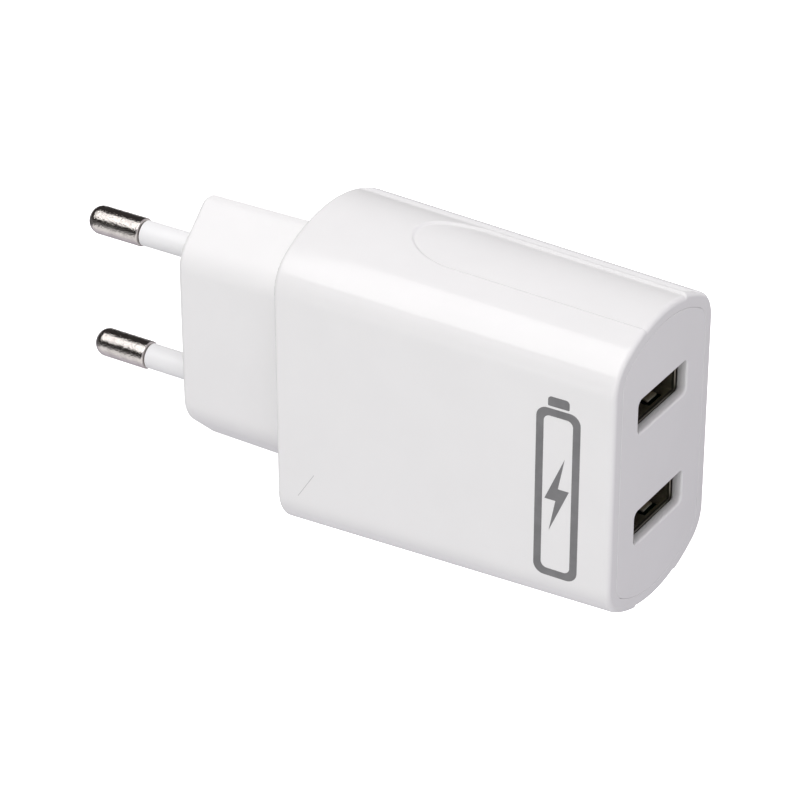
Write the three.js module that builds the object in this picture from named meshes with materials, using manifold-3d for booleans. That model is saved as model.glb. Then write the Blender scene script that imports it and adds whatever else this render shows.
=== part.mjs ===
// USB wall charger for a two-pin European socket, with two USB-A ports in its far end.
//
// Millimetres. +X runs from the wall to the USB ports, +Z runs from the lower pin to the upper
// one, and Y is the thickness. The origin is the middle of the face that meets the socket.

import * as THREE from 'three';
import { mergeVertices } from 'three/addons/utils/BufferGeometryUtils.js';
import Module from 'manifold-3d';

const wasm = await Module();
wasm.setup();

// ---------------------------------------------------------------- driving dimensions

// Plug pins
const PIN_SPACING = 19;
const PIN_LENGTH = 19;
const PIN_RADIUS = 2;
const PIN_TIP_LENGTH = 8.65;
const PIN_TIP_ROUND = 1.65;
const PIN_CORE_RADIUS = 1.1;
const PIN_COLLAR_RADIUS = 2.7;
const PIN_COLLAR_LENGTH = 1.2;
const PIN_TAIL_LENGTH = 0.8;
const PIN_SLEEVE_RADIUS = 1.79;
const PIN_SLEEVE_BORE = 1.35;

// Plug base, the part with the profile of a flat two-pin plug
const BASE_LENGTH = 19.5;
const BASE_HALF_HEIGHT = 17.88;
const BASE_HEIGHT_DRAFT = 1.017;
const BASE_HALF_THICKNESS = 7.16;
const BASE_FLAT_HALF_HEIGHT = 12.0;
const BASE_CREST_HALF_WIDTH = 0.85;
const BASE_SIDE_RADIUS = 5.2;
const BASE_CREST_RADIUS = 1.6;
const BASE_INNER_CREST_RADIUS = 0.25;
const BASE_EDGE_ROUND = 0.8;
const BASE_WALL = 1.8;
const BASE_END_WALL = 3;
const FLANGE_THICKNESS = 2.4;
const SPIGOT_LENGTH = 3.6;
const SPIGOT_WALL = 1.2;

// Housing sleeve, with its section at the plug end and its draft towards the ports
const SLEEVE_LENGTH = 49.3;
const SLEEVE_HALF_HEIGHT = 22.6;
const SLEEVE_HALF_THICKNESS = 13.55;
const SLEEVE_CORNER_RADIUS = 5.5;
const SLEEVE_CROWN_RADIUS = 20.95;
const SLEEVE_HEIGHT_DRAFT = 0.935;
const SLEEVE_THICKNESS_DRAFT = 0.936;
const SLEEVE_EDGE_ROUND = 0.7;
const SLEEVE_WALL = 2.1;

// Shallow grip recess in both narrow sides, open towards the ports
const GRIP_HALF_WIDTH = 5.7;
const GRIP_DEPTH = 0.3;
const GRIP_START = 32.8;
const GRIP_END_LENGTH = 8.2;

// USB face plate and its two windows
const PLATE_THICKNESS = 1.4;
const SKIRT_LENGTH = 4;
const SKIRT_WALL = 1.1;
const PORT_SPACING = 16.2;
const PORT_CENTRE_Y = -0.2;
const PORT_CENTRE_Z = 0.25;
const WINDOW_WIDTH = 12.8;
const WINDOW_HEIGHT = 4.95;
const WINDOW_CORNER = 0.9;

// USB-A sockets
const SHELL_WIDTH = 13.14;
const SHELL_HEIGHT = 5.72;
const SHELL_SHEET = 0.3;
const SHELL_LENGTH = 14;
const SHELL_CORNER = 0.7;
const SPRING_WIDTH = 2.4;
const SPRING_LENGTH = 4.2;
const SPRING_BEND = 0.5;
const SPRING_SPACING = 5.9;
const SPRING_SLOT = 0.6;
const SPRING_SETBACK = 1.2;
const SOCKET_BLOCK_LENGTH = 3.8;
const TONGUE_WIDTH = 11.1;
const TONGUE_THICKNESS = 1.84;
const TONGUE_RISE = 0.75;
const TONGUE_SETBACK = 2.2;
const CONTACT_OFFSETS = [-3.5, -1, 1, 3.5];
const CONTACT_WIDTH = 1;
const CONTACT_SHEET = 0.25;
const CONTACT_BOW = 0.35;
const CONTACT_KNEE = 0.7;
const CONTACT_SETBACK = 0.6;
const TAB_WIDTH = 2;
const TAB_LENGTH = 2.6;
const TAB_REAR_SETBACK = 3;
const TAB_FRONT_SETBACK = 7;

// Circuit board, which stands on the +Y side of the sockets
const BOARD_FRONT = 24;
const BOARD_BACK = 65;
const BOARD_HALF_HEIGHT = 15.2;
const BOARD_LOW_Y = 6.9;
const BOARD_THICKNESS = 1.6;
const BOARD_CORNER = 1.5;
const SHEET_THICKNESS = 0.25;
const SHEET_RISE = 1.45;
const SHEET_MARGIN = 3;

// Clearances and facets
const TOUCH_GAP = 0.05;
const FIT_GAP = 0.15;
const LOOSE_GAP = 0.3;
const FINE_SEGMENTS = 6;
const COARSE_SEGMENTS = 3;
const ROUND_FACETS = 24;

const SLEEVE_START = BASE_LENGTH;
const FACE_X = SLEEVE_START + SLEEVE_LENGTH;
const SHELL_MOUTH_X = FACE_X - PLATE_THICKNESS - FIT_GAP;
const SHELL_REAR_X = SHELL_MOUTH_X - SHELL_LENGTH;
const TAB_PLACES = [SHELL_REAR_X + TAB_REAR_SETBACK, SHELL_MOUTH_X - TAB_FRONT_SETBACK];
const BOARD_HIGH_Y = BOARD_LOW_Y + BOARD_THICKNESS;
const SIDES = { upper: 1, lower: -1 };

// ---------------------------------------------------------------- materials

function material(color, roughness, metalness = 0) {
  return new THREE.MeshStandardMaterial({ color, roughness, metalness });
}

const GLOSS_WHITE = material(0xf2f2f3, 0.22);
const SATIN_WHITE = material(0xf0f0f0, 0.5);
const FACE_WHITE = material(0xefeff1, 0.42);
const SLEEVE_WHITE = material(0xe6e6e6, 0.6);
const NICKEL = material(0xb9bab8, 0.3, 1);
const STEEL = material(0x8f8f8c, 0.35, 1);
const BRASS = material(0xb49a5a, 0.35, 1);
const BOARD_GREEN = material(0x1f5a36, 0.55);
const BLACK_PLASTIC = material(0x17181a, 0.5);
const FERRITE = material(0x35363a, 0.65);
const TAPE_YELLOW = material(0xe3b71e, 0.45);
const CAN_BLACK = material(0x1c1f2a, 0.4);
const DISC_BLUE = material(0x2c5f9e, 0.45);
const RESISTOR_BEIGE = material(0xcdb48a, 0.6);
const SHEET_CLEAR = material(0xdedccd, 0.4);

// ---------------------------------------------------------------- geometry helpers

// Joins duplicate corners and drops the empty triangles at the poles of a lathe.
function weld(source) {
  const bare = source.clone();
  bare.deleteAttribute('normal');
  bare.deleteAttribute('uv');
  const merged = mergeVertices(bare);
  const corners = merged.index.array;
  const kept = [];
  for (let i = 0; i < corners.length; i += 3) {
    const [a, b, c] = [corners[i], corners[i + 1], corners[i + 2]];
    if (a !== b && b !== c && c !== a) {
      kept.push(a, b, c);
    }
  }
  merged.setIndex(kept);
  return merged;
}

function toSolid(geometry) {
  const merged = weld(geometry);
  return new wasm.Manifold(new wasm.Mesh({
    numProp: 3,
    vertProperties: new Float32Array(merged.getAttribute('position').array),
    triVerts: new Uint32Array(merged.index.array),
  }));
}

function toGeometry(solid) {
  const mesh = solid.getMesh();
  const geometry = new THREE.BufferGeometry();
  geometry.setAttribute('position', new THREE.BufferAttribute(mesh.vertProperties, 3));
  geometry.setIndex(new THREE.BufferAttribute(mesh.triVerts, 1));
  geometry.computeVertexNormals();
  return geometry;
}

function cut(body, ...tools) {
  const solid = tools.reduce((left, tool) => left.subtract(toSolid(tool)), toSolid(body));
  return toGeometry(solid);
}

function join(body, ...others) {
  const solid = others.reduce((sum, other) => sum.add(toSolid(other)), toSolid(body));
  return toGeometry(solid);
}

const ALONG_X = new THREE.Matrix4().makeBasis(
  new THREE.Vector3(0, 1, 0),
  new THREE.Vector3(0, 0, 1),
  new THREE.Vector3(1, 0, 0),
);
const ALONG_Y = new THREE.Matrix4().makeBasis(
  new THREE.Vector3(1, 0, 0),
  new THREE.Vector3(0, 0, 1),
  new THREE.Vector3(0, -1, 0),
);

// A shape drawn in (Y, Z) and drawn out from x0 to x1, with its end edges rounded.
function extrudeX(shape, x0, x1, round = 0, curveSegments = FINE_SEGMENTS) {
  const geometry = new THREE.ExtrudeGeometry(shape, {
    depth: x1 - x0 - 2 * round,
    curveSegments,
    bevelEnabled: round > 0,
    bevelThickness: round,
    bevelSize: round,
    bevelOffset: -round,
    bevelSegments: COARSE_SEGMENTS,
  });
  return geometry.applyMatrix4(ALONG_X).translate(x0 + round, 0, 0);
}

// A shape drawn in (X, Z) and drawn out from y0 to y1.
function extrudeY(shape, y0, y1, curveSegments = COARSE_SEGMENTS) {
  const geometry = new THREE.ExtrudeGeometry(shape, {
    depth: y1 - y0,
    curveSegments,
    bevelEnabled: false,
  });
  return geometry.applyMatrix4(ALONG_Y).translate(0, y1, 0);
}

// A shape drawn in (X, Y) and drawn out from z0 to z1.
function extrudeZ(shape, z0, z1, curveSegments = COARSE_SEGMENTS) {
  const geometry = new THREE.ExtrudeGeometry(shape, {
    depth: z1 - z0,
    curveSegments,
    bevelEnabled: false,
  });
  return geometry.translate(0, 0, z0);
}

function box(x0, x1, y0, y1, z0, z1) {
  const geometry = new THREE.BoxGeometry(x1 - x0, y1 - y0, z1 - z0);
  return geometry.translate((x0 + x1) / 2, (y0 + y1) / 2, (z0 + z1) / 2);
}

// A turned body about a line along X; the profile is a list of [x, radius].
function turnedX(profile, y, z, facets = ROUND_FACETS) {
  const points = profile.map(([x, radius]) => new THREE.Vector2(radius, x));
  const geometry = new THREE.LatheGeometry(points, facets);
  return weld(geometry.rotateZ(-Math.PI / 2).translate(0, y, z));
}

// A closed outline through the given corners, each [x, y, radius] and rounded by its radius.
function roundedPolygon(corners) {
  const shape = new THREE.Shape();
  const count = corners.length;
  const place = (index) => new THREE.Vector2(corners[index][0], corners[index][1]);
  corners.forEach(([x, y, radius], index) => {
    const corner = new THREE.Vector2(x, y);
    const before = place((index + count - 1) % count).sub(corner);
    const after = place((index + 1) % count).sub(corner);
    before.normalize();
    after.normalize();
    const half = Math.acos(before.dot(after)) / 2;
    const middle = before.clone().add(after).normalize();
    const centre = corner.clone().addScaledVector(middle, radius / Math.sin(half));
    const reach = radius / Math.tan(half);
    const start = corner.clone().addScaledVector(before, reach).sub(centre).angle();
    const end = corner.clone().addScaledVector(after, reach).sub(centre).angle();
    shape.absarc(centre.x, centre.y, radius, start, end, false);
  });
  return shape;
}

function roundedRectangle(x0, x1, y0, y1, radius) {
  return roundedPolygon([
    [x0, y0, radius], [x1, y0, radius], [x1, y1, radius], [x0, y1, radius],
  ]);
}

function circle(x, y, radius) {
  const shape = new THREE.Shape();
  shape.absarc(x, y, radius, 0, 2 * Math.PI, false);
  return shape;
}

// ---------------------------------------------------------------- shared outlines

function portZ(side) {
  return PORT_CENTRE_Z + side * PORT_SPACING / 2;
}

// The sleeve's section in (Y, Z) at the plug end, moved inwards by inset: flat sides, a crown
// on each narrow side, and an arc tangent to both at each corner.
function sleeveSection(inset) {
  const corner = SLEEVE_CORNER_RADIUS - inset;
  const crown = SLEEVE_CROWN_RADIUS - inset;
  const side = SLEEVE_HALF_THICKNESS - SLEEVE_CORNER_RADIUS;
  const crownCentre = SLEEVE_HALF_HEIGHT - SLEEVE_CROWN_RADIUS;
  const reach = SLEEVE_CROWN_RADIUS - SLEEVE_CORNER_RADIUS;
  const rise = crownCentre + Math.sqrt(reach ** 2 - side ** 2);
  const turn = Math.atan2(rise - crownCentre, side);
  const shape = new THREE.Shape();
  shape.absarc(side, rise, corner, 0, turn, false);
  shape.absarc(0, crownCentre, crown, turn, Math.PI - turn, false);
  shape.absarc(-side, rise, corner, Math.PI - turn, Math.PI, false);
  shape.absarc(-side, -rise, corner, Math.PI, Math.PI + turn, false);
  shape.absarc(0, -crownCentre, crown, Math.PI + turn, 2 * Math.PI - turn, false);
  shape.absarc(side, -rise, corner, 2 * Math.PI - turn, 2 * Math.PI, false);
  return shape;
}

// Scales a geometry's thickness and height in step with X: by 1 at start, and by the two
// given ratios a length further on.
function tapered(geometry, start, length, thicknessRatio, heightRatio) {
  const position = geometry.getAttribute('position');
  for (let i = 0; i < position.count; i += 1) {
    const along = (position.getX(i) - start) / length;
    position.setY(i, position.getY(i) * (1 + (thicknessRatio - 1) * along));
    position.setZ(i, position.getZ(i) * (1 + (heightRatio - 1) * along));
  }
  return geometry;
}

// Narrows a geometry towards the ports by the sleeve's draft.
function drafted(geometry) {
  return tapered(
    geometry, SLEEVE_START, SLEEVE_LENGTH, SLEEVE_THICKNESS_DRAFT, SLEEVE_HEIGHT_DRAFT,
  );
}

// The plug base's section in (Y, Z), moved inwards by inset.
function baseSection(inset) {
  const side = BASE_HALF_THICKNESS - inset;
  const top = BASE_HALF_HEIGHT - inset;
  const slope = Math.atan2(
    BASE_HALF_THICKNESS - BASE_CREST_HALF_WIDTH,
    BASE_HALF_HEIGHT - BASE_FLAT_HALF_HEIGHT,
  );
  const flat = BASE_FLAT_HALF_HEIGHT - inset * Math.tan(slope / 2);
  const crest = BASE_CREST_HALF_WIDTH - inset * Math.tan((Math.PI / 2 - slope) / 2);
  const sideRadius = BASE_SIDE_RADIUS - inset;
  const crestRadius = Math.max(BASE_CREST_RADIUS - inset, BASE_INNER_CREST_RADIUS);
  return roundedPolygon([
    [side, -flat, sideRadius], [side, flat, sideRadius],
    [crest, top, crestRadius], [-crest, top, crestRadius],
    [-side, flat, sideRadius], [-side, -flat, sideRadius],
    [-crest, -top, crestRadius], [crest, -top, crestRadius],
  ]);
}

// ---------------------------------------------------------------- housing

function housingSleeve() {
  const start = SLEEVE_START;
  const outer = drafted(extrudeX(sleeveSection(0), start, FACE_X, SLEEVE_EDGE_ROUND));
  const past = 1;
  const bore = drafted(extrudeX(sleeveSection(SLEEVE_WALL), start - past, FACE_X + past));
  const floor = drafted(extrudeX(sleeveSection(GRIP_DEPTH), start - past, FACE_X + 2 * past));
  const outline = new THREE.Shape();
  const bend = GRIP_START + GRIP_END_LENGTH;
  outline.moveTo(FACE_X + past, -GRIP_HALF_WIDTH);
  outline.lineTo(FACE_X + past, GRIP_HALF_WIDTH);
  outline.absellipse(
    bend, 0, GRIP_END_LENGTH, GRIP_HALF_WIDTH, Math.PI / 2, 1.5 * Math.PI, false, 0,
  );
  const reach = SLEEVE_HALF_HEIGHT + past;
  const column = drafted(extrudeZ(outline, -reach, reach, FINE_SEGMENTS));
  const grips = toSolid(column).subtract(toSolid(floor));
  return toGeometry(toSolid(outer).subtract(toSolid(bore)).subtract(grips));
}

function usbFacePlate() {
  const inner = FACE_X - PLATE_THICKNESS;
  const outline = sleeveSection(SLEEVE_WALL + FIT_GAP);
  const plate = drafted(extrudeX(outline, inner - SKIRT_LENGTH, FACE_X));
  const hollow = drafted(
    extrudeX(sleeveSection(SLEEVE_WALL + FIT_GAP + SKIRT_WALL), inner - SKIRT_LENGTH - 1, inner),
  );
  const windows = Object.values(SIDES).map((side) => {
    const y = PORT_CENTRE_Y;
    const z = portZ(side);
    const width = WINDOW_WIDTH / 2;
    const height = WINDOW_HEIGHT / 2;
    const shape = roundedRectangle(y - width, y + width, z - height, z + height, WINDOW_CORNER);
    return extrudeX(shape, inner - 1, FACE_X + 1, 0, COARSE_SEGMENTS);
  });
  return cut(plate, hollow, ...windows);
}

function plugBase() {
  const flangeBack = BASE_LENGTH + FLANGE_THICKNESS;
  const inset = SLEEVE_WALL + FIT_GAP;
  const boss = tapered(
    extrudeX(baseSection(0), 0, flangeBack, BASE_EDGE_ROUND),
    0, BASE_LENGTH, 1, BASE_HEIGHT_DRAFT,
  );
  const flange = drafted(
    extrudeX(sleeveSection(inset), BASE_LENGTH, flangeBack + SPIGOT_LENGTH),
  );
  const spigotHollow = drafted(
    extrudeX(sleeveSection(inset + SPIGOT_WALL), flangeBack, flangeBack + SPIGOT_LENGTH + 1),
  );
  const hollow = extrudeX(
    baseSection(BASE_WALL), BASE_END_WALL, flangeBack + 1, 0, COARSE_SEGMENTS,
  );
  const bores = Object.values(SIDES).map((side) => extrudeX(
    circle(0, side * PIN_SPACING / 2, PIN_SLEEVE_RADIUS + FIT_GAP),
    -1, BASE_END_WALL + 1,
  ));
  return cut(join(boss, flange), spigotHollow, hollow, ...bores);
}

// ---------------------------------------------------------------- plug pins

function pin(side) {
  const shoulder = PIN_TIP_LENGTH - PIN_LENGTH;
  const collar = BASE_END_WALL + LOOSE_GAP;
  const collarEnd = collar + PIN_COLLAR_LENGTH;
  const tip = new THREE.Path();
  const flat = PIN_RADIUS - PIN_TIP_ROUND;
  tip.absarc(PIN_TIP_ROUND - PIN_LENGTH, flat, PIN_TIP_ROUND, Math.PI, Math.PI / 2, true);
  const profile = [
    [-PIN_LENGTH, 0],
    ...tip.getPoints(FINE_SEGMENTS).map((point) => [point.x, point.y]),
    [shoulder, PIN_RADIUS],
    [shoulder, PIN_CORE_RADIUS],
    [collar, PIN_CORE_RADIUS],
    [collar, PIN_COLLAR_RADIUS],
    [collarEnd, PIN_COLLAR_RADIUS],
    [collarEnd, PIN_CORE_RADIUS],
    [collarEnd + PIN_TAIL_LENGTH, PIN_CORE_RADIUS],
    [collarEnd + PIN_TAIL_LENGTH, 0],
  ];
  return turnedX(profile, 0, side * PIN_SPACING / 2);
}

function pinSleeve(side) {
  const start = PIN_TIP_LENGTH - PIN_LENGTH + FIT_GAP;
  const end = BASE_END_WALL;
  const profile = [
    [start, PIN_SLEEVE_BORE],
    [start, PIN_SLEEVE_RADIUS],
    [end, PIN_SLEEVE_RADIUS],
    [end, PIN_SLEEVE_BORE],
    [start, PIN_SLEEVE_BORE],
  ];
  return turnedX(profile, 0, side * PIN_SPACING / 2);
}

// A folded brass strip from the tail of a pin to the front edge of the board.
function pinClip(side) {
  const sheet = 0.5;
  const halfWidth = 1.5;
  const footX = BASE_END_WALL + LOOSE_GAP + PIN_COLLAR_LENGTH + PIN_TAIL_LENGTH + FIT_GAP;
  const footLow = -2;
  const runY = 2.4;
  const riseStart = 21.8;
  const riseEnd = 25.2;
  const landY = BOARD_LOW_Y - FIT_GAP;
  const landEnd = 29;
  const outline = new THREE.Shape([
    [footX, footLow], [footX + sheet, footLow], [footX + sheet, runY - sheet],
    [riseStart, runY - sheet], [riseEnd, landY - sheet], [landEnd, landY - sheet],
    [landEnd, landY], [riseEnd - sheet / 2, landY], [riseStart - sheet / 2, runY],
    [footX, runY],
  ].map(([x, y]) => new THREE.Vector2(x, y)));
  const z = side * PIN_SPACING / 2;
  return extrudeZ(outline, z - halfWidth, z + halfWidth);
}

// ---------------------------------------------------------------- USB-A sockets

// A leaf spring in the XZ plane: it leaves the shell wall towards the mouth and bends inwards.
function leafSpring(y, wallZ, inwards) {
  const front = SHELL_MOUTH_X - SPRING_SETBACK;
  const root = front - SPRING_LENGTH;
  const knee = front - SPRING_LENGTH / 3;
  const low = wallZ - inwards * SHELL_SHEET / 2;
  const high = wallZ + inwards * SHELL_SHEET / 2;
  const overlap = root - SPRING_SLOT - FIT_GAP;
  const corners = [
    [overlap, low], [root, low], [knee, low + inwards * SPRING_BEND],
    [front, low], [front, high], [knee, high + inwards * SPRING_BEND], [root, high],
    [overlap, high],
  ].map(([x, z]) => new THREE.Vector2(x, z));
  const outline = new THREE.Shape(corners);
  return extrudeY(outline, y - SPRING_WIDTH / 2, y + SPRING_WIDTH / 2);
}

function usbShell(side) {
  const z = portZ(side);
  const height = SHELL_HEIGHT / 2;
  const left = PORT_CENTRE_Y - SHELL_WIDTH / 2;
  const right = PORT_CENTRE_Y + SHELL_WIDTH / 2;
  const ring = roundedRectangle(left, right, z - height, z + height, SHELL_CORNER);
  const sheet = SHELL_SHEET;
  const inside = roundedRectangle(
    left + sheet, right - sheet, z - height + sheet, z + height - sheet, SHELL_CORNER - sheet,
  );
  const tube = extrudeX(ring, SHELL_REAR_X, SHELL_MOUTH_X, 0, COARSE_SEGMENTS);
  const bore = extrudeX(inside, SHELL_REAR_X - 1, SHELL_MOUTH_X + 1, 0, COARSE_SEGMENTS);
  const slots = [];
  const springs = [];
  const slotFront = SHELL_MOUTH_X - SPRING_SETBACK + SPRING_SLOT;
  const slotRear = slotFront - SPRING_LENGTH - SPRING_SLOT;
  for (const wall of [-1, 1]) {
    for (const column of [-1, 1]) {
      const y = PORT_CENTRE_Y + column * SPRING_SPACING / 2;
      const wallZ = z + wall * (height - sheet / 2);
      const reach = SPRING_WIDTH / 2 + SPRING_SLOT;
      slots.push(box(slotRear, slotFront, y - reach, y + reach, wallZ - sheet, wallZ + sheet));
      springs.push(leafSpring(y, wallZ, -wall));
    }
  }
  const tabs = TAB_PLACES.map((x) => box(
    x, x + TAB_WIDTH, right - sheet, right + TAB_LENGTH, z - sheet / 2, z + sheet / 2,
  ));
  return join(cut(tube, bore, ...slots), ...springs, ...tabs);
}

function usbInsulator(side) {
  const z = portZ(side);
  const width = SHELL_WIDTH / 2 - SHELL_SHEET - FIT_GAP;
  const height = SHELL_HEIGHT / 2 - SHELL_SHEET - FIT_GAP;
  const rear = SHELL_REAR_X + FIT_GAP;
  const blockEnd = rear + SOCKET_BLOCK_LENGTH;
  const y = PORT_CENTRE_Y;
  const block = box(rear, blockEnd, y - width, y + width, z - height, z + height);
  const tongueZ = z + TONGUE_RISE;
  const half = TONGUE_THICKNESS / 2;
  const tongue = box(
    blockEnd - 1, SHELL_MOUTH_X - TONGUE_SETBACK,
    y - TONGUE_WIDTH / 2, y + TONGUE_WIDTH / 2, tongueZ - half, tongueZ + half,
  );
  return join(block, tongue);
}

// One spring contact under the tongue, bowed away from it in the middle.
function usbContact(side, offset) {
  const y = PORT_CENTRE_Y + offset;
  const tongueUnder = portZ(side) + TONGUE_RISE - TONGUE_THICKNESS / 2;
  const top = tongueUnder - 2 * TOUCH_GAP;
  const under = top - CONTACT_SHEET;
  const rear = SHELL_REAR_X + FIT_GAP + SOCKET_BLOCK_LENGTH + FIT_GAP;
  const front = SHELL_MOUTH_X - TONGUE_SETBACK - CONTACT_SETBACK;
  const knee = rear + CONTACT_KNEE * (front - rear);
  const corners = [
    [rear, under], [knee, under - CONTACT_BOW], [front, under],
    [front, top], [knee, top - CONTACT_BOW], [rear, top],
  ].map(([x, z]) => new THREE.Vector2(x, z));
  return extrudeY(new THREE.Shape(corners), y - CONTACT_WIDTH / 2, y + CONTACT_WIDTH / 2);
}

// ---------------------------------------------------------------- circuit board and parts

function mainBoard() {
  const board = extrudeY(
    roundedRectangle(
      BOARD_FRONT, BOARD_BACK, -BOARD_HALF_HEIGHT, BOARD_HALF_HEIGHT, BOARD_CORNER,
    ),
    BOARD_LOW_Y, BOARD_HIGH_Y,
  );
  const slots = [];
  for (const side of Object.values(SIDES)) {
    const z = portZ(side);
    for (const x of TAB_PLACES) {
      const reach = SHELL_SHEET / 2 + LOOSE_GAP;
      slots.push(box(
        x - LOOSE_GAP, x + TAB_WIDTH + LOOSE_GAP, BOARD_LOW_Y - 1, BOARD_HIGH_Y + 1,
        z - reach, z + reach,
      ));
    }
  }
  return cut(board, ...slots);
}

// The transformer's centre and the sizes its pieces share. Its two E-shaped core halves meet
// inside the bobbin, with their legs along Z.
const TRANSFORMER_X = 43;
const TRANSFORMER_Y = -0.2;
const CORE_HALF_WIDTH = 6.6;
const CORE_HALF_DEPTH = 2.6;
const CORE_LEG = 1.7;
const CORE_CENTRE_LEG = 3.6;
const CORE_LEG_LENGTH = 5.2;
const BOBBIN_WALL = 0.6;
const BOBBIN_FLANGE = 0.8;
const WINDING_DEPTH = 2;

function coreHalf(side) {
  const x = TRANSFORMER_X;
  const split = side * TOUCH_GAP;
  const legTop = side * CORE_LEG_LENGTH;
  const back = side * (CORE_LEG_LENGTH + CORE_LEG);
  const inner = CORE_HALF_WIDTH - CORE_LEG;
  const centre = CORE_CENTRE_LEG / 2;
  const outline = [
    [-CORE_HALF_WIDTH, back], [-CORE_HALF_WIDTH, split], [-inner, split], [-inner, legTop],
    [-centre, legTop], [-centre, split], [centre, split], [centre, legTop],
    [inner, legTop], [inner, split], [CORE_HALF_WIDTH, split], [CORE_HALF_WIDTH, back],
  ].map(([u, z]) => new THREE.Vector2(x + u, z));
  return extrudeY(
    new THREE.Shape(outline), TRANSFORMER_Y - CORE_HALF_DEPTH, TRANSFORMER_Y + CORE_HALF_DEPTH,
  );
}

function bobbin() {
  const legX = CORE_CENTRE_LEG / 2 + LOOSE_GAP;
  const legY = CORE_HALF_DEPTH + LOOSE_GAP;
  const x = TRANSFORMER_X;
  const y = TRANSFORMER_Y;
  const top = CORE_LEG_LENGTH - LOOSE_GAP;
  const tubeX = legX + BOBBIN_WALL;
  const tubeY = legY + BOBBIN_WALL;
  const tube = box(x - tubeX, x + tubeX, y - tubeY, y + tubeY, -top, top);
  const hole = box(x - legX, x + legX, y - legY, y + legY, -top - 1, top + 1);
  const flangeX = CORE_HALF_WIDTH - CORE_LEG - LOOSE_GAP;
  const flangeY = tubeY + WINDING_DEPTH + 0.5;
  const flanges = [-top, top - BOBBIN_FLANGE].map((z) => box(
    x - flangeX, x + flangeX, y - flangeY, y + flangeY, z, z + BOBBIN_FLANGE,
  ));
  return cut(join(tube, ...flanges), hole);
}

function winding() {
  const innerX = CORE_CENTRE_LEG / 2 + BOBBIN_WALL + 1.5 * LOOSE_GAP;
  const innerY = CORE_HALF_DEPTH + BOBBIN_WALL + 1.5 * LOOSE_GAP;
  const x = TRANSFORMER_X;
  const y = TRANSFORMER_Y;
  const outerX = CORE_HALF_WIDTH - CORE_LEG - LOOSE_GAP;
  const outerY = innerY + WINDING_DEPTH;
  const half = CORE_LEG_LENGTH - LOOSE_GAP - BOBBIN_FLANGE - FIT_GAP;
  const shape = roundedRectangle(x - outerX, x + outerX, y - outerY, y + outerY, 1.2);
  shape.holes.push(roundedRectangle(x - innerX, x + innerX, y - innerY, y + innerY, 0.2));
  return extrudeZ(shape, -half, half);
}

// An electrolytic capacitor lying along X, with the rolled groove near its sealed end.
function capacitor(x, y, z, radius, length) {
  const edge = 0.4;
  const groove = 0.35;
  const grooveSetback = 1.6;
  const grooveX = x + grooveSetback;
  const profile = [
    [x, 0], [x, radius - edge], [x + edge, radius],
    [grooveX, radius], [grooveX + groove, radius - groove], [grooveX + 2 * groove, radius],
    [x + length - edge, radius], [x + length, radius - edge], [x + length, 0],
  ];
  return turnedX(profile, y, z, 20);
}

// A small turned component with rounded ends and a lead at each end.
function axialPart(x, y, z, radius, length, leadRadius, leadLength) {
  const edge = 0.3 * radius;
  const end = x + length;
  const profile = [
    [x - leadLength, 0], [x - leadLength, leadRadius], [x, leadRadius],
    [x, radius - edge], [x + edge, radius], [end - edge, radius],
    [end, radius - edge], [end, leadRadius],
    [end + leadLength, leadRadius], [end + leadLength, 0],
  ];
  return turnedX(profile, y, z, 16);
}

// A drum choke: two flanges and a wound waist, turned about X.
function drumChoke(x, y, z, radius, length) {
  const flange = 1;
  const waist = 0.8 * radius;
  const profile = [
    [x, 0], [x, radius], [x + flange, radius], [x + flange, waist],
    [x + length - flange, waist], [x + length - flange, radius],
    [x + length, radius], [x + length, 0],
  ];
  return turnedX(profile, y, z, 20);
}

// A disc capacitor that stands across the board between the transformer and the sockets.
function discCapacitor(x, y, z, radius, thickness) {
  const edge = 0.35 * thickness;
  const profile = [
    [x, 0], [x, radius - edge], [x + edge, radius], [x + thickness - edge, radius],
    [x + thickness, radius - edge], [x + thickness, 0],
  ];
  return turnedX(profile, y, z, 20);
}

// A flat chip on the far side of the board, with a row of short leads on two sides.
function chip(x, z, lengthX, lengthZ, height, leads) {
  const low = BOARD_HIGH_Y + TOUCH_GAP;
  const standoff = 0.1;
  const body = box(
    x - lengthX / 2, x + lengthX / 2, low + standoff, low + height,
    z - lengthZ / 2, z + lengthZ / 2,
  );
  const leadWidth = 0.4;
  const leadSheet = 0.3;
  const leadReach = 0.7;
  const pitch = lengthX / leads;
  const feet = [];
  for (let i = 0; i < leads; i += 1) {
    const leadX = x - lengthX / 2 + pitch * (i + 0.5);
    feet.push(box(
      leadX - leadWidth / 2, leadX + leadWidth / 2, low, low + leadSheet,
      z - lengthZ / 2 - leadReach, z + lengthZ / 2 + leadReach,
    ));
  }
  return join(body, ...feet);
}

function insulatingSheet() {
  const low = BOARD_HIGH_Y + SHEET_RISE;
  const half = BOARD_HALF_HEIGHT - SHEET_MARGIN;
  const outline = roundedRectangle(
    BOARD_FRONT + SHEET_MARGIN, BOARD_BACK - SHEET_MARGIN, -half, half, BOARD_CORNER,
  );
  return extrudeY(outline, low, low + SHEET_THICKNESS);
}

// ---------------------------------------------------------------- assembly

const charger = new THREE.Group();
charger.name = 'usb_wall_charger';

function addPiece(name, geometry, look) {
  const mesh = new THREE.Mesh(geometry, look);
  mesh.name = name;
  charger.add(mesh);
}

addPiece('housing_sleeve', housingSleeve(), GLOSS_WHITE);
addPiece('usb_face_plate', usbFacePlate(), FACE_WHITE);
addPiece('plug_base', plugBase(), SATIN_WHITE);

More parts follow.
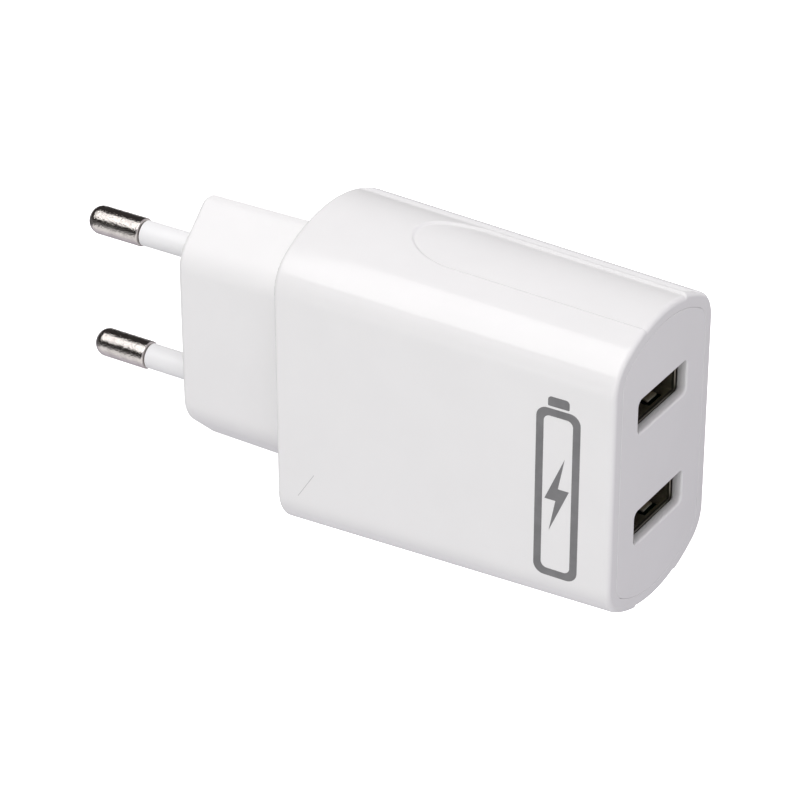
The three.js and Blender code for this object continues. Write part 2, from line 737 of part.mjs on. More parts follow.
for (const [place, side] of Object.entries(SIDES)) {
  addPiece(`pin_${place}`, pin(side), NICKEL);
  addPiece(`pin_sleeve_${place}`, pinSleeve(side), SLEEVE_WHITE);
  addPiece(`pin_clip_${place}`, pinClip(side), BRASS);
  addPiece(`usb_shell_${place}`, usbShell(side), STEEL);
  addPiece(`usb_insulator_${place}`, usbInsulator(side), BLACK_PLASTIC);
  CONTACT_OFFSETS.forEach((offset, index) => {
    addPiece(`usb_contact_${place}_${index + 1}`, usbContact(side, offset), BRASS);
  });
  addPiece(`transformer_core_${place}`, coreHalf(side), FERRITE);
  addPiece(`input_capacitor_${place}`, capacitor(27.5, 2, side * 13.4, 4.4, 14), CAN_BLACK);
  addPiece(`output_capacitor_${place}`, capacitor(44.5, 2.6, side * 14.8, 3.2, 12), CAN_BLACK);
}

addPiece('main_board', mainBoard(), BOARD_GREEN);
addPiece('transformer_bobbin', bobbin(), BLACK_PLASTIC);
addPiece('transformer_winding', winding(), TAPE_YELLOW);
addPiece('output_capacitor_middle', capacitor(54.2, 2.2, PORT_CENTRE_Z, 4.2, 10), CAN_BLACK);
addPiece('safety_capacitor', discCapacitor(50.4, 2.6, 0, 3.6, 2), DISC_BLUE);
addPiece('fuse_resistor', axialPart(28, 4, 4, 1.7, 6, 0.35, 1.2), RESISTOR_BEIGE);
addPiece('input_choke', drumChoke(27, 3.4, -3, 3, 7), FERRITE);
addPiece('bridge_rectifier', chip(31, 6, 4.6, 3.8, 1.3, 2), BLACK_PLASTIC);
addPiece('controller_ic', chip(38, -5, 4.9, 3.9, 1.3, 4), BLACK_PLASTIC);
addPiece('rectifier_diode', chip(48, 6, 4.2, 3.4, 1.2, 1), BLACK_PLASTIC);
addPiece('usb_charge_ic', chip(56, 0, 4.9, 3.9, 1.3, 4), BLACK_PLASTIC);
addPiece('insulating_sheet', insulatingSheet(), SHEET_CLEAR);

export default charger;
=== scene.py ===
import math

import bmesh
import bpy
from mathutils import Matrix, Vector
from mathutils.geometry import tessellate_polygon


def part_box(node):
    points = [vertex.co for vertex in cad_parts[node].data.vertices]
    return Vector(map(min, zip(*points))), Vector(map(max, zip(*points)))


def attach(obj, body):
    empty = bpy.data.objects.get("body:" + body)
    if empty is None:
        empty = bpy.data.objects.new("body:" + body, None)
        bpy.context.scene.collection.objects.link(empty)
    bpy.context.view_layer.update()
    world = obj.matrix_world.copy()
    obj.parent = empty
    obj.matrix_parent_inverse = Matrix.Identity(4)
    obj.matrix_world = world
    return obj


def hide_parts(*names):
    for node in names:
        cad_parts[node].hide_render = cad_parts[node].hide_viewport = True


# USB wall charger: high-resolution housing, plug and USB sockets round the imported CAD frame.
# The object's sizes are in millimetres until a mesh is made. The frame, the lights and the
# floor are in metres.

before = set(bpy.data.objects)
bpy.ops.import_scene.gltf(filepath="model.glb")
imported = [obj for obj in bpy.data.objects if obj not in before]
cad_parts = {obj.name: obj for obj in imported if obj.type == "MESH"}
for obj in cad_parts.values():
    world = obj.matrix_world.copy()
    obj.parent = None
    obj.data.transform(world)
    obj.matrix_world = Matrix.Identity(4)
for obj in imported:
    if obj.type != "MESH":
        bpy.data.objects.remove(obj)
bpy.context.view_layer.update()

MM = 0.001
scene = bpy.context.scene


def low(node):
    """A CAD node's lowest corner in millimetres."""
    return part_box(node)[0] / MM


def high(node):
    """A CAD node's highest corner in millimetres."""
    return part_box(node)[1] / MM


# ---------------------------------------------------------------- sizes

# Housing sleeve, from the frame and the radii of its section
SLEEVE_X = low("housing_sleeve").x
FACE_X = high("housing_sleeve").x
SLEEVE_LENGTH = FACE_X - SLEEVE_X
HALF_HEIGHT = 22.6
HALF_THICKNESS = 13.55
CORNER_RADIUS = 5.5
CROWN_RADIUS = 20.95
HEIGHT_DRAFT = 0.935
THICKNESS_DRAFT = 0.936
EDGE_ROUND = 0.7
SLEEVE_WALL = 2.1
MOUTH_ROUND = 0.05

# Shallow grip recess in both narrow sides
GRIP_HALF_WIDTH = 5.7
GRIP_DEPTH = 0.3
GRIP_START = 32.8
GRIP_END_LENGTH = 8.2
GRIP_EDGE = 0.34
GRIP_MARGIN = 0.6

# USB face plate
SEAM = 0.03
PLATE_THICKNESS = 1.4
SKIRT_LENGTH = 4.0
SKIRT_WALL = 1.1
PLATE_ROUND = 0.05
WINDOW_WIDTH = 12.8
WINDOW_HEIGHT = 4.95
WINDOW_CORNER = 0.9
WINDOW_CORNER_REAR = 0.35
WINDOW_ROUND = 0.07
WINDOW_EASE = 0.3
PORTS = {"upper": 8.35, "lower": -7.85}
PORT_Y = -0.2

# USB-A sockets
SHELL_WIDTH = 13.14
SHELL_HEIGHT = 5.72
SHELL_SHEET = 0.3
SHELL_CORNER = 0.45
SHELL_MOUTH_X = high("usb_shell_upper").x
SHELL_REAR_X = low("usb_shell_upper").x
SHELL_FLARE = -0.1
SHELL_FLARE_LENGTH = 0.25
SPRING_WIDTH = 2.4
SPRING_LENGTH = 4.2
SPRING_BEND = 0.5
SPRING_SPACING = 5.9
SPRING_SLOT = 0.6
SPRING_SETBACK = 1.5
SPRING_ROLL = 0.86
SPRING_FULLNESS = 1.5
SHELL_EDGE_ROUND = 0.05
SHELL_EDGE_ANGLE = math.radians(50)
# Painted shade at the shell's mouth: the socket steel keeps its colour up to the first distance
# behind the mouth, and is darkened to the share from the second distance forward
SHELL_PAINTED_SHADE_START = 0.6
SHELL_PAINTED_SHADE_END = 0.35
SHELL_PAINTED_SHADE_SHARE = 0.36
BLOCK_CORNER_LEAST = 0.02
SOCKET_BLOCK_LENGTH = 3.8
SOCKET_BLOCK_CORNER = 0.4
SOCKET_BLOCK_ROUND = 0.1
TONGUE_WIDTH = 11.1
TONGUE_THICKNESS = 1.84
TONGUE_CORNER = 0.3
TONGUE_ROUND = 0.25
TONGUE_OVERLAP = 0.5
TONGUE_RISE = 0.75
TONGUE_SETBACK = 2.2

# Printed charging mark on the broad -Y face
MARK_X = 61.1
MARK_WIDTH = 6.2
MARK_LOW = -14.0
MARK_HIGH = 12.0
MARK_STROKE = 1.05
MARK_CORNER = 1.5
MARK_CORNER_LOSS = 0.6
MARK_FILM = 0.02
TERMINAL_HEIGHT = 1.7
TERMINAL_HALF_WIDTH = 1.5
TERMINAL_GAP = 0.35
TERMINAL_ROOT_ROUND = 0.15
TERMINAL_TOP_ROUND = 0.5
BOLT_HALF_HEIGHT = 5.4
BOLT_POINT = 1.0
BOLT_ARM = 1.7
BOLT_WAIST = 0.15
BOLT_STEP = 0.9

# Hairline on the broad -Y face
HAIRLINE_X = 24.1
HAIRLINE_Z = -12.2
HAIRLINE_RISE = 4.0
HAIRLINE_RUN = 2.6
HAIRLINE_LENGTH = 4.6
HAIRLINE_WIDTH = 0.07
HAIRLINE_SHARE = 0.6

# Plug base
BASE_LENGTH = 19.5
BASE_HALF_HEIGHT = 17.88
BASE_HEIGHT_DRAFT = 1.017
BASE_HALF_THICKNESS = 7.16
BASE_FLAT_HALF_HEIGHT = 12.0
BASE_CREST_HALF_WIDTH = 0.85
BASE_SIDE_RADIUS = 5.2
BASE_CREST_RADIUS = 1.6
BASE_CREST_LEAST = 0.25
BASE_EDGE_ROUND = 0.8
FLANGE_THICKNESS = 2.4
SPIGOT_LENGTH = 3.6

# Pins
PIN_SPACING = 19.0
PIN_LENGTH = 19.0
PIN_RADIUS = 2.0
PIN_TIP_LENGTH = 8.65
PIN_TIP_ROUND = 1.65
PIN_RIM_ROUND = 0.2
PIN_CORE_RADIUS = 1.1
PIN_COLLAR_RADIUS = 2.7
PIN_COLLAR_LENGTH = 1.2
PIN_TAIL_LENGTH = 0.8
PIN_SLEEVE_RADIUS = 1.79
PIN_SLEEVE_BORE = 1.35
PIN_SLEEVE_ROUND = 0.15
PIN_HOLE_ROUND = 0.12
FIT_GAP = 0.15
BASE_END_WALL = 3.0
LOOSE_GAP = 0.3


# ---------------------------------------------------------------- mesh building

# In the shapes below, a small bare offset beside a rounded edge, up to 1 mm, places a ring that keeps
# the flat beyond that edge flat, and a whole number in spread() is a count of steps.

# How near counts as equal
ALMOST = 1e-6


class Surface:
    """Points in millimetres and the faces between them."""

    def __init__(self):
        self.points = []
        self.faces = []

    def ring(self, points):
        """Adds points and gives their numbers."""
        first = len(self.points)
        self.points.extend(points)
        return list(range(first, first + len(points)))

    def strip(self, a, b):
        """Joins two closed rings of point numbers with four-sided faces."""
        count = len(a)
        for i in range(count):
            j = (i + 1) % count
            self.faces.append((a[i], a[j], b[j], b[i]))

    def loft(self, rings, loop=False):
        """Joins each ring to the next, and with loop the last to the first."""
        indices = [self.ring(points) for points in rings]
        for a, b in zip(indices, indices[1:]):
            self.strip(a, b)
        if loop:
            self.strip(indices[-1], indices[0])
        return indices

    def fill(self, outlines):
        """Fills the first outline, leaving the others as holes."""
        order = [index for outline in outlines for index in outline]
        places = [[Vector(self.points[index]) for index in outline] for outline in outlines]
        for corners in tessellate_polygon(places):
            self.faces.append(tuple(order[corner] for corner in corners))

    def to_object(self, name, smooth=True):
        mesh = bpy.data.meshes.new(name)
        scaled = [tuple(value * MM for value in point) for point in self.points]
        mesh.from_pydata(scaled, [], self.faces)
        work = bmesh.new()
        work.from_mesh(mesh)
        bmesh.ops.remove_doubles(work, verts=work.verts, dist=1e-8)
        bmesh.ops.recalc_face_normals(work, faces=work.faces)
        work.to_mesh(mesh)
        work.free()
        for polygon in mesh.polygons:
            polygon.use_smooth = smooth
        piece = bpy.data.objects.new(name, mesh)
        scene.collection.objects.link(piece)
        return piece


def spread(start, end, steps):
    """Evenly spaced numbers from start to end, both included."""
    return [start + (end - start) * i / steps for i in range(steps + 1)]


def place(piece, slot, *nodes):
    """Gives a piece its look, and puts it in place of CAD nodes."""
    piece.data.materials.clear()
    piece.data.materials.append(LOOKS[slot])
    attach(piece, "root")
    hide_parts(*nodes)


# ---------------------------------------------------------------- sections

SIDE_Y = HALF_THICKNESS - CORNER_RADIUS
CROWN_Z = HALF_HEIGHT - CROWN_RADIUS
CORNER_Z = CROWN_Z + math.sqrt((CROWN_RADIUS - CORNER_RADIUS) ** 2 - SIDE_Y ** 2)
TURN = math.atan2(CORNER_Z - CROWN_Z, SIDE_Y)


def crown_stations():
    """Angles across the +Z crown, closest together over the grip recess."""
    edge = CROWN_RADIUS * math.cos(TURN)
    fine = GRIP_HALF_WIDTH + GRIP_MARGIN
    rows = spread(edge, fine, 8)[:-1] + spread(fine, -fine, 84) + spread(-fine, -edge, 8)[1:]
    return [math.acos(y / CROWN_RADIUS) for y in rows]


def sleeve_stations():
    """The section's stations, each a centre, a radius and an angle, round the whole outline."""
    top = []
    for angle in spread(0, TURN, 16)[:-1]:
        top.append((SIDE_Y, CORNER_Z, CORNER_RADIUS, angle))
    for angle in crown_stations():
        top.append((0, CROWN_Z, CROWN_RADIUS, angle))
    for angle in spread(math.pi - TURN, math.pi, 16)[1:]:
        top.append((-SIDE_Y, CORNER_Z, CORNER_RADIUS, angle))
    side = []
    for z in [CORNER_Z - 0.3] + spread(CORNER_Z - 1, 1 - CORNER_Z, 6) + [0.3 - CORNER_Z]:
        side.append((-SIDE_Y, z, CORNER_RADIUS, math.pi))
    half = top + side
    other_half = [(-y, -z, radius, angle + math.pi) for y, z, radius, angle in half]
    return half + other_half


STATIONS = sleeve_stations()


def drafted(x, y, z):
    """The point drawn in towards the axis by the sleeve's draft at x."""
    along = (x - SLEEVE_X) / SLEEVE_LENGTH
    return (x, y * (1 + (THICKNESS_DRAFT - 1) * along), z * (1 + (HEIGHT_DRAFT - 1) * along))


def grip_depth(x, y, z):
    """How far the outer surface is set in at a point, by its undrafted place."""
    if abs(z) < CORNER_Z:
        return 0
    bend = GRIP_START + GRIP_END_LENGTH
    across = abs(y) / GRIP_HALF_WIDTH
    if x >= bend:
        past = abs(y) - GRIP_HALF_WIDTH
    else:
        back = (bend - x) / GRIP_END_LENGTH
        reach = math.hypot(back, across)
        slope = math.hypot(back / GRIP_END_LENGTH, across / GRIP_HALF_WIDTH)
        past = (reach - 1) * reach / max(slope, ALMOST)
    share = min(max(0.5 - past / GRIP_EDGE, 0), 1)
    return GRIP_DEPTH * share * share * (3 - 2 * share)


def sleeve_ring(x, inset, grips=False):
    """The sleeve's section at x, set in by inset, with or without the grip recesses."""
    points = []
    for y0, z0, radius, angle in STATIONS:
        depth = inset
        if grips:
            y = y0 + radius * math.cos(angle)
            z = z0 + radius * math.sin(angle)
            depth = inset + grip_depth(x, y, z)
        y = y0 + (radius - depth) * math.cos(angle)
        z = z0 + (radius - depth) * math.sin(angle)
        points.append(drafted(x, y, z))
    return points


def rounded_outline(corners, steps):
    """A closed outline with rounded corners, each given as (across, up, radius)."""
    outline = []
    count = len(corners)
    for i, (across, up, radius) in enumerate(corners):
        corner = Vector((across, up))
        before = (Vector(corners[i - 1][:2]) - corner).normalized()
        after = (Vector(corners[(i + 1) % count][:2]) - corner).normalized()
        half = math.acos(max(-1, min(1, before.dot(after)))) / 2
        centre = corner + (before + after).normalized() * radius / math.sin(half)
        reach = radius / math.tan(half)
        first = corner + before * reach - centre
        last = corner + after * reach - centre
        start = math.atan2(first.y, first.x)
        end = math.atan2(last.y, last.x)
        while end < start:
            end += 2 * math.pi
        for angle in spread(start, end, steps):
            outline.append((centre.x + radius * math.cos(angle), centre.y + radius * math.sin(angle)))
    return outline


def base_outline(inset):
    """The plug base's section: two flat sides that slope in to a narrow crest at each end."""
    slope = math.atan2(
        BASE_HALF_THICKNESS - BASE_CREST_HALF_WIDTH, BASE_HALF_HEIGHT - BASE_FLAT_HALF_HEIGHT
    )
    side = BASE_HALF_THICKNESS - inset
    top = BASE_HALF_HEIGHT - inset
    flat = BASE_FLAT_HALF_HEIGHT - inset * math.tan(slope / 2)
    crest = BASE_CREST_HALF_WIDTH - inset * math.tan((math.pi / 2 - slope) / 2)
    wide = BASE_SIDE_RADIUS - inset
    tight = max(BASE_CREST_RADIUS - inset, BASE_CREST_LEAST)
    return rounded_outline(
        [
            (side, -flat, wide), (side, flat, wide), (crest, top, tight), (-crest, top, tight),
            (-side, flat, wide), (-side, -flat, wide), (-crest, -top, tight), (crest, -top, tight),
        ],
        12,
    )


def window_outline(z, grow, corner=WINDOW_CORNER):
    """A port window's outline in (Y, Z), made larger all round by grow."""
    half_y = WINDOW_WIDTH / 2 + grow
    half_z = WINDOW_HEIGHT / 2 + grow
    radius = corner + grow
    corners = [
        (PORT_Y + half_y, z - half_z, radius), (PORT_Y + half_y, z + half_z, radius),
        (PORT_Y - half_y, z + half_z, radius), (PORT_Y - half_y, z - half_z, radius),
    ]
    return rounded_outline(corners, 10)


def window_edge(z, angle, margin=0.0, depth=0.0):
    """A ring of a window's front edge, rounded more softly along its lower and +Y sides."""
    points = []
    for (y0, z0), (y1, z1) in zip(window_outline(z, 0), window_outline(z, 1)):
        soft = min(max((y1 - y0) - (z1 - z0), 0), 1)
        size = WINDOW_ROUND + (WINDOW_EASE - WINDOW_ROUND) * soft
        grow = size * (1 - math.sin(angle)) + margin
        x = FACE_X - size * (1 - math.cos(angle)) - depth
        points.append((x, y0 + (y1 - y0) * grow, z0 + (z1 - z0) * grow))
    return points


def at_x(x, outline):
    return [(x, y, z) for y, z in outline]


# ---------------------------------------------------------------- housing sleeve

def housing_sleeve():
    surface = Surface()
    start, end = SLEEVE_X, FACE_X
    rings = []
    for inset in (SLEEVE_WALL, SLEEVE_WALL - 0.05, EDGE_ROUND + 0.1):
        rings.append(sleeve_ring(start, inset))
    for angle in spread(0, math.pi / 2, 8):
        inset = EDGE_ROUND * (1 - math.sin(angle))
        rings.append(sleeve_ring(start + EDGE_ROUND * (1 - math.cos(angle)), inset))
    bend = GRIP_START + GRIP_END_LENGTH
    fine_start = GRIP_START - 0.4
    rows = [start + EDGE_ROUND + 0.2] + spread(start + 2, fine_start - 1, 6)
    rows += spread(fine_start, bend + 0.4, 60)
    rows += spread(bend + 1.5, end - 2, 12) + [end - EDGE_ROUND - 0.15]
    for x in rows:
        rings.append(sleeve_ring(x, 0, True))
    for angle in spread(0, math.pi / 2, 10):
        inset = EDGE_ROUND * (1 - math.cos(angle))
        rings.append(sleeve_ring(end - EDGE_ROUND * (1 - math.sin(angle)), inset, True))
    rings.append(sleeve_ring(end, EDGE_ROUND + 0.08, True))
    rings.append(sleeve_ring(end, SLEEVE_WALL - MOUTH_ROUND - 0.06))
    for angle in spread(0, math.pi / 2, 4):
        inset = SLEEVE_WALL - MOUTH_ROUND * (1 - math.sin(angle))
        rings.append(sleeve_ring(end - MOUTH_ROUND * (1 - math.cos(angle)), inset))
    rings.append(sleeve_ring(end - MOUTH_ROUND - 0.1, SLEEVE_WALL))
    rings.append(sleeve_ring(start + 0.05, SLEEVE_WALL))
    surface.loft(rings, loop=True)
    return surface.to_object("sleeve_body")


# ---------------------------------------------------------------- USB face plate

def face_plate():
    surface = Surface()
    outer = SLEEVE_WALL + SEAM
    inner_x = FACE_X - PLATE_THICKNESS
    skirt_x = inner_x - SKIRT_LENGTH
    rings = [sleeve_ring(FACE_X, outer + PLATE_ROUND + 0.06)]
    for angle in spread(math.pi / 2, 0, 4):
        inset = outer + PLATE_ROUND * (1 - math.cos(angle))
        rings.append(sleeve_ring(FACE_X - PLATE_ROUND * (1 - math.sin(angle)), inset))
    rings.append(sleeve_ring(FACE_X - PLATE_ROUND - 0.1, outer))
    rings.append(sleeve_ring(skirt_x + 0.05, outer))
    rings.append(sleeve_ring(skirt_x, outer + 0.05))
    rings.append(sleeve_ring(skirt_x, outer + SKIRT_WALL - 0.05))
    rings.append(sleeve_ring(skirt_x + 0.05, outer + SKIRT_WALL))
    rings.append(sleeve_ring(inner_x - 0.05, outer + SKIRT_WALL))
    rings.append(sleeve_ring(inner_x, outer + SKIRT_WALL + 0.05))
    front_to_back = surface.loft(rings)
    fronts = [front_to_back[0]]
    backs = [front_to_back[-1]]
    for z in PORTS.values():
        window = [window_edge(z, 0, margin=0.06)]
        for angle in spread(0, math.pi / 2, 8):
            window.append(window_edge(z, angle))
        window.append(window_edge(z, math.pi / 2, depth=0.08))
        window.append(at_x(inner_x + 0.05, window_outline(z, 0, WINDOW_CORNER_REAR)))
        window.append(at_x(inner_x, window_outline(z, 0.05, WINDOW_CORNER_REAR)))
        window.append(at_x(inner_x, window_outline(z, 0.1, WINDOW_CORNER_REAR)))
        rows = surface.loft(window)
        fronts.append(rows[0])
        backs.append(rows[-1])
    surface.fill(fronts)
    surface.fill(backs)
    return surface.to_object("usb_plate_body")


# ---------------------------------------------------------------- plug base and pins

def base_ring(x, inset):
    along = x / BASE_LENGTH
    ratio = 1 + (BASE_HEIGHT_DRAFT - 1) * along
    return [(x, y, z * ratio) for y, z in base_outline(inset)]


def circle_ring(x, z0, radius, count=48):
    return [
        (x, radius * math.cos(angle), z0 + radius * math.sin(angle))
        for angle in spread(0, 2 * math.pi, count)[:-1]
    ]


def plug_base_body():
    surface = Surface()
    rings = [base_ring(0, BASE_EDGE_ROUND + 0.1)]
    for angle in spread(math.pi / 2, 0, 10):
        inset = BASE_EDGE_ROUND * (1 - math.cos(angle))
        rings.append(base_ring(BASE_EDGE_ROUND * (1 - math.sin(angle)), inset))
    rings.append(base_ring(BASE_EDGE_ROUND + 0.15, 0))
    for x in spread(2.5, BASE_LENGTH - 0.2, 4):
        rings.append(base_ring(x, 0))
    rings.append(base_ring(BASE_LENGTH, 0))
    boss = surface.loft(rings)
    holes = []
    for side in (-1, 1):
        z0 = side * PIN_SPACING / 2
        radius = PIN_SLEEVE_RADIUS + FIT_GAP
        hole = [circle_ring(0, z0, radius + 0.2)]
        for angle in spread(0, math.pi / 2, 4):
            x = PIN_HOLE_ROUND * (1 - math.cos(angle))
            hole.append(circle_ring(x, z0, radius + PIN_HOLE_ROUND * (1 - math.sin(angle))))
        hole.append(circle_ring(BASE_END_WALL, z0, radius))
        rows = surface.loft(hole)
        surface.fill([rows[-1]])
        holes.append(rows[0])
    surface.fill([boss[0]] + holes)
    inset = SLEEVE_WALL + FIT_GAP
    back = BASE_LENGTH + FLANGE_THICKNESS + SPIGOT_LENGTH
    flange_rings = [sleeve_ring(BASE_LENGTH, inset + 0.05), sleeve_ring(BASE_LENGTH + 0.05, inset)]
    flange_rings.append(sleeve_ring(back, inset))
    flange = surface.loft(flange_rings)
    surface.fill([flange[0], boss[-1]])
    surface.fill([flange[-1]])
    return surface.to_object("plug_base_body")


def turned(profile, z0, count=64):
    """A body turned about a line along X, from a profile of (x, radius) that starts and ends at 0."""
    surface = Surface()
    rings = [circle_ring(x, z0, radius, count) for x, radius in profile[1:-1]]
    rows = surface.loft(rings)
    for end, ring in ((profile[0], rows[0]), (profile[-1], rows[-1])):
        centre = surface.ring([(end[0], 0, z0)])[0]
        for i in range(count):
            surface.faces.append((ring[i], ring[(i + 1) % count], centre))
    return surface


def pin_profile():
    """A pin from its rounded tip to its tail, as (x, radius), with the collar that holds it."""
    shoulder = PIN_TIP_LENGTH - PIN_LENGTH
    collar = BASE_END_WALL + LOOSE_GAP
    collar_end = collar + PIN_COLLAR_LENGTH
    flat = PIN_RADIUS - PIN_TIP_ROUND
    profile = [(-PIN_LENGTH, 0), (-PIN_LENGTH, flat * 0.8)]
    for angle in spread(0, math.pi / 2, 14):
        x = PIN_TIP_ROUND * (1 - math.cos(angle)) - PIN_LENGTH
        profile.append((x, flat + PIN_TIP_ROUND * math.sin(angle)))
    profile.append((PIN_TIP_ROUND - PIN_LENGTH + 0.2, PIN_RADIUS))
    profile.append((shoulder - PIN_RIM_ROUND - 0.1, PIN_RADIUS))
    for angle in spread(0, math.pi / 2, 6):
        x = shoulder - PIN_RIM_ROUND * (1 - math.sin(angle))
        profile.append((x, PIN_RADIUS - PIN_RIM_ROUND * (1 - math.cos(angle))))
    profile.append((shoulder, PIN_CORE_RADIUS + 0.05))
    profile.append((shoulder + 0.05, PIN_CORE_RADIUS))
    profile.append((collar, PIN_CORE_RADIUS))
    profile.append((collar, PIN_COLLAR_RADIUS))
    profile.append((collar_end, PIN_COLLAR_RADIUS))
    profile.append((collar_end, PIN_CORE_RADIUS))
    profile.append((collar_end + PIN_TAIL_LENGTH, PIN_CORE_RADIUS))
    profile.append((collar_end + PIN_TAIL_LENGTH, 0))
    return profile


def pin_sleeve(name, z0):
    start = PIN_TIP_LENGTH - PIN_LENGTH + FIT_GAP
    surface = Surface()
    profile = [(start, PIN_SLEEVE_BORE + 0.05), (start, PIN_SLEEVE_RADIUS - PIN_SLEEVE_ROUND - 0.03)]
    for angle in spread(0, math.pi / 2, 5):
        x = start + PIN_SLEEVE_ROUND * (1 - math.sin(math.pi / 2 - angle))
        profile.append((x, PIN_SLEEVE_RADIUS - PIN_SLEEVE_ROUND * (1 - math.sin(angle))))
    profile.append((start + PIN_SLEEVE_ROUND + 0.1, PIN_SLEEVE_RADIUS))
    profile.append((BASE_END_WALL - 0.05, PIN_SLEEVE_RADIUS))
    profile.append((BASE_END_WALL, PIN_SLEEVE_RADIUS - 0.05))
    profile.append((BASE_END_WALL, PIN_SLEEVE_BORE))
    surface.loft([circle_ring(x, z0, radius, 56) for x, radius in profile], loop=True)
    return surface.to_object(name)


# ---------------------------------------------------------------- USB sockets

def shell_stations(z0):
    """Places and outward directions round the socket shell, with the columns of its springs."""
    half_y = SHELL_WIDTH / 2 - SHELL_CORNER
    half_z = SHELL_HEIGHT / 2 - SHELL_CORNER
    columns = [-half_y]
    for middle in (-SPRING_SPACING / 2, SPRING_SPACING / 2):
        half = SPRING_WIDTH / 2
        columns.append(middle - half - SPRING_SLOT)
        columns.extend(spread(middle - half, middle + half, 4))
        columns.append(middle + half + SPRING_SLOT)
    columns.append(half_y)
    wall = [(y, -half_z, -math.pi / 2) for y in columns]
    low_corner = [(half_y, -half_z, angle) for angle in spread(-math.pi / 2, 0, 6)[1:-1]]
    side = [(half_y, z, 0) for z in spread(-half_z, half_z, 4)]
    high_corner = [(half_y, half_z, angle) for angle in spread(0, math.pi / 2, 6)[1:-1]]
    half = wall + low_corner + side[:-1]
    other_half = [(-y, -z, angle + math.pi) for y, z, angle in half + high_corner]
    stations = half + side[-1:] + high_corner + other_half
    return [(y + PORT_Y, z + z0, angle) for y, z, angle in stations]


def in_spring(y, reach):
    """Whether y is within reach of either leaf spring's middle line."""
    return abs(abs(y - PORT_Y) - SPRING_SPACING / 2) < reach + ALMOST


def spring_rise(x, tip, root):
    """How far a leaf spring stands in from the shell wall, from its root to its tip."""
    if x <= root:
        return 0
    share = (x - root) / (tip - root)
    return SPRING_BEND * math.sin(math.pi * min(share, 1) * SPRING_ROLL) ** SPRING_FULLNESS


def shell_cut(ends, x_near, x_far, tip, root):
    """Whether a patch of the shell is open: the slot beside and in front of a leaf spring."""
    slot_front = tip + SPRING_SLOT
    if x_near > slot_front + ALMOST or x_far < root - ALMOST:
        return False
    if any(abs(math.cos(end[2])) >= ALMOST for end in ends):
        return False
    near_y, far_y = ends[0][0], ends[1][0]
    span = (near_y, (near_y + far_y) / 2, far_y)
    if not all(in_spring(y, SPRING_WIDTH / 2 + SPRING_SLOT) for y in span):
        return False
    spring = all(in_spring(y, SPRING_WIDTH / 2) for y in (near_y, far_y))
    return not spring or x_near > tip + ALMOST


def usb_shell(level, z0):
    """A socket's sheet-metal shell, with two leaf springs bent in from each broad wall."""
    tip = SHELL_MOUTH_X - SPRING_SETBACK
    root = tip - SPRING_LENGTH
    slot_front = tip + SPRING_SLOT
    flare = spread(SHELL_MOUTH_X, SHELL_MOUTH_X - SHELL_FLARE_LENGTH, 5)
    rows = flare + [slot_front + 0.1, slot_front] + spread(tip, root, 12) + [SHELL_REAR_X]
    stations = shell_stations(z0)
    surface = Surface()
    rings = []
    for x in rows:
        ring = []
        for y0, zc, angle in stations:
            share = max(0, (x - SHELL_MOUTH_X) / SHELL_FLARE_LENGTH + 1)
            out = SHELL_FLARE * share * share
            flat = abs(math.cos(angle)) < ALMOST
            if flat and root < x <= tip + ALMOST and in_spring(y0, SPRING_WIDTH / 2):
                out = -spring_rise(x, tip, root)
            y = y0 + (SHELL_CORNER + out) * math.cos(angle)
            z = zc + (SHELL_CORNER + out) * math.sin(angle)
            ring.append((x, y, z))
        rings.append(surface.ring(ring))
    count = len(stations)
    for i, (near, far) in enumerate(zip(rings, rings[1:])):
        for j in range(count):
            k = (j + 1) % count
            if not shell_cut((stations[j], stations[k]), rows[i], rows[i + 1], tip, root):
                surface.faces.append((near[j], near[k], far[k], far[j]))
    piece = surface.to_object(f"usb_shell_body_{level}")
    sheet = piece.modifiers.new("sheet", "SOLIDIFY")
    sheet.thickness = SHELL_SHEET * MM
    sheet.offset = -1
    edge = piece.modifiers.new("edge", "BEVEL")
    edge.width = SHELL_EDGE_ROUND * MM
    edge.segments = 2
    edge.limit_method = "ANGLE"
    edge.angle_limit = SHELL_EDGE_ANGLE
    return piece


def block_rings(x0, x1, y0, y1, z0, z1, corner, edge):
    """The rings of a block along X with rounded corners and rounded end edges."""

    def ring(x, inset):
        radius = max(corner - inset, BLOCK_CORNER_LEAST)
        corners = [
            (y1 - inset, z0 + inset, radius), (y1 - inset, z1 - inset, radius),
            (y0 + inset, z1 - inset, radius), (y0 + inset, z0 + inset, radius),
        ]
        return at_x(x, rounded_outline(corners, 5))

    rings = [ring(x0, edge + 0.03)]
    for angle in spread(math.pi / 2, 0, 4):
        rings.append(ring(x0 + edge * (1 - math.sin(angle)), edge * (1 - math.cos(angle))))
    for angle in spread(0, math.pi / 2, 4):
        rings.append(ring(x1 - edge * (1 - math.sin(angle)), edge * (1 - math.cos(angle))))
    rings.append(ring(x1, edge + 0.03))
    return rings


def usb_insulator(level, z0):
    """A socket's black block and the tongue that stands out from it."""
    surface = Surface()
    rear = SHELL_REAR_X + FIT_GAP
    block_end = rear + SOCKET_BLOCK_LENGTH
    half_y = SHELL_WIDTH / 2 - SHELL_SHEET - FIT_GAP
    half_z = SHELL_HEIGHT / 2 - SHELL_SHEET - FIT_GAP
    tongue_z = z0 + TONGUE_RISE
    half_tongue = TONGUE_THICKNESS / 2
    half_width = TONGUE_WIDTH / 2
    front = SHELL_MOUTH_X - TONGUE_SETBACK
    block = (rear, block_end, half_y, z0, half_z, SOCKET_BLOCK_CORNER, SOCKET_BLOCK_ROUND)
    tongue = (
        block_end - TONGUE_OVERLAP, front, half_width, tongue_z, half_tongue,
        TONGUE_CORNER, TONGUE_ROUND,
    )
    for x0, x1, half, middle, rise, corner, edge in (block, tongue):
        sides = (PORT_Y - half, PORT_Y + half, middle - rise, middle + rise)
        rings = block_rings(x0, x1, *sides, corner, edge)
        rows = surface.loft(rings)
        surface.fill([rows[0]])
        surface.fill([rows[-1]])
    return surface.to_object(f"usb_insulator_body_{level}")


